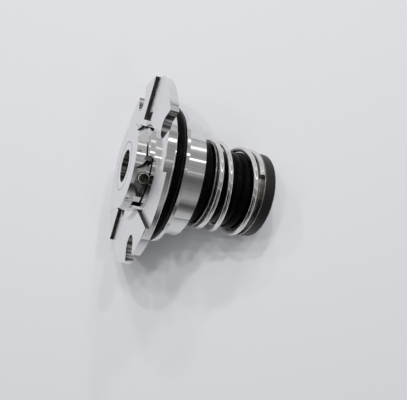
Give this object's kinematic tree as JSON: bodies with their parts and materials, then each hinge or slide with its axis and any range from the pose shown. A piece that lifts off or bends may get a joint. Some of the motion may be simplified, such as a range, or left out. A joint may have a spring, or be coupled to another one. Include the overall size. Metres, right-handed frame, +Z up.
{
  "type": "cartridge mechanical seal",
  "caption": "Cartridge mechanical seal with slotted gland flange, lock collar, shaft sleeve, elastomer bellows and coil spring, lying on its rim.",
  "frame": {"origin": "on the shaft's axis, at the back face of the gland's flange", "axes": "+Z up from the table the seal lies on, +X from the lock collar towards the tail, +Y across; the shaft's axis lies in the XZ plane and falls 21.4 degrees towards the tail"},
  "size_m": [0.1292, 0.138, 0.1304],
  "materials": {
    "turned_steel": "polished",
    "spring_steel": "satin",
    "sheet_steel": "satin",
    "black_screw": "satin",
    "black_rubber": "gloss",
    "tail_rubber": "matt",
    "carbon": "satin",
    "ceramic": "satin"
  },
  "bodies": {
    "gland": {"gland_plate": "turned_steel", "gland_oring": "black_rubber", "seat_ring": "ceramic", "seat_oring": "black_rubber", "seat_pin": "spring_steel"},
    "head": {"face_ring": "carbon", "bellows": "black_rubber", "front_band": "sheet_steel", "spring": "spring_steel"},
    "rotor": {"sleeve": "turned_steel", "sleeve_oring": "black_rubber", "lock_collar": "turned_steel", "set_screw_1": "black_screw", "set_screw_2": "black_screw", "set_screw_3": "black_screw", "set_screw_4": "black_screw", "rear_band": "sheet_steel", "tail_ring": "tail_rubber", "retaining_ring": "spring_steel"}
  },
  "joints": [
    {"name": "spin", "type": "hinge", "parent": "gland", "child": "head", "pos_m": [0, 0, 0], "axis": [0.9311, 0, -0.3648], "continuous": true},
    {"name": "compress", "type": "slide", "parent": "head", "child": "rotor", "axis": [-0.9311, 0, 0.3648], "range_m": [0, 0.003], "stiffness_N_per_m": 4500, "springref_m": -0.02, "deforming": ["spring", "bellows"]}
  ]
}
